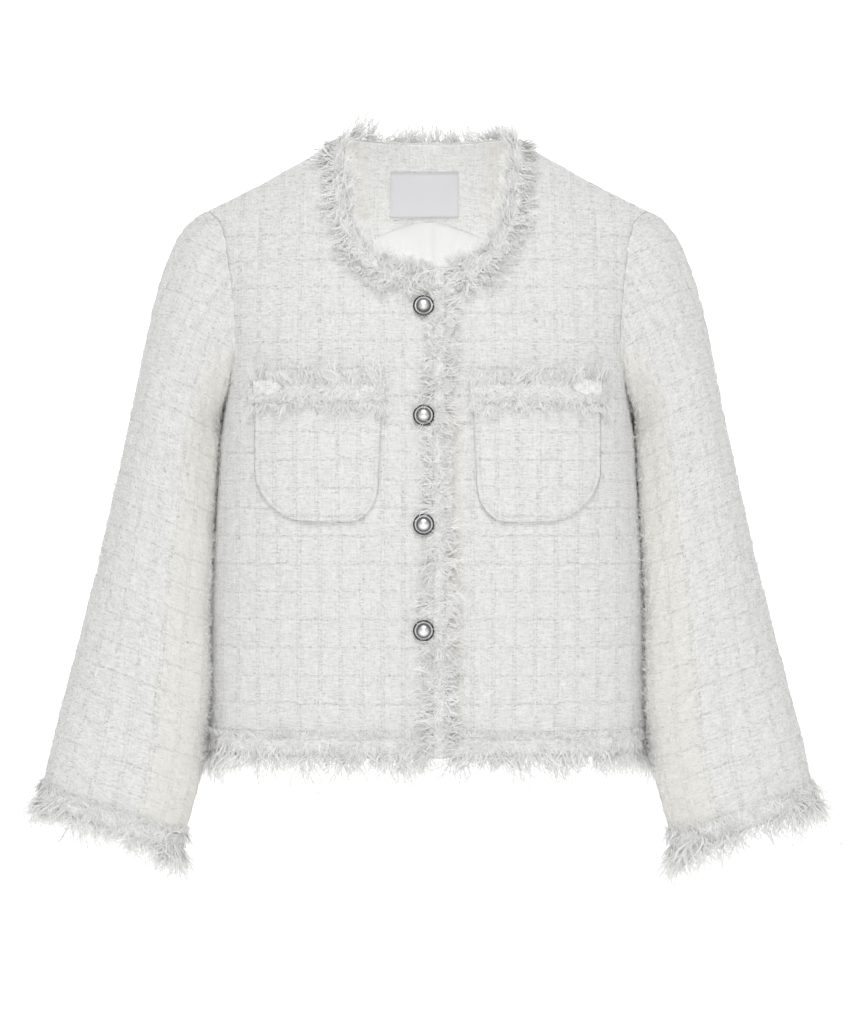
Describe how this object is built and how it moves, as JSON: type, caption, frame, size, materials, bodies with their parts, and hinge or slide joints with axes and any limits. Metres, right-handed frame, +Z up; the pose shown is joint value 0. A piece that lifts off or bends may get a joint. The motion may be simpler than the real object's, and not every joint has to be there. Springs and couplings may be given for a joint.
{
  "type": "cropped tweed jacket",
  "caption": "Cropped collarless boucle tweed jacket, filled out and hollow, with frayed trims, patch pockets, long flared sleeves and a front fastened with domed buttons.",
  "frame": {"origin": "middle of the neck opening, about level with the neck ends of the shoulder seams, where the wearer's neck and shoulders hold the jacket up", "axes": "+Z up, -Y towards the front, +X towards the wearer's left"},
  "size_m": [0.6847, 0.2307, 0.6484],
  "materials": {
    "tweed": "white boucle tweed, matt",
    "trim": "woven tweed trim with frayed edges, matt",
    "lining": "smooth white lining, soft sheen",
    "label": "light grey satin, blank",
    "button_metal": "bright domed metal in a rim"
  },
  "bodies": {
    "root": {"front_right": "tweed", "front_left": "tweed", "back": "tweed", "sleeve_right": "tweed", "sleeve_left": "tweed", "pocket_right": "tweed", "pocket_left": "tweed", "facing_back": "tweed", "pocket_trim_right": "trim", "pocket_trim_left": "trim", "pocket_tab_right": "trim", "pocket_tab_left": "trim", "neck_trim_right": "trim", "neck_trim_left": "trim", "neck_trim_back": "trim", "placket_trim": "trim", "hem_trim_right": "trim", "hem_trim_left": "trim", "hem_trim_back": "trim", "cuff_trim_right": "trim", "cuff_trim_left": "trim", "lining_back": "lining", "label": "label", "button_1": "button_metal", "button_2": "button_metal", "button_3": "button_metal", "button_4": "button_metal"}
  },
  "joints": []
}
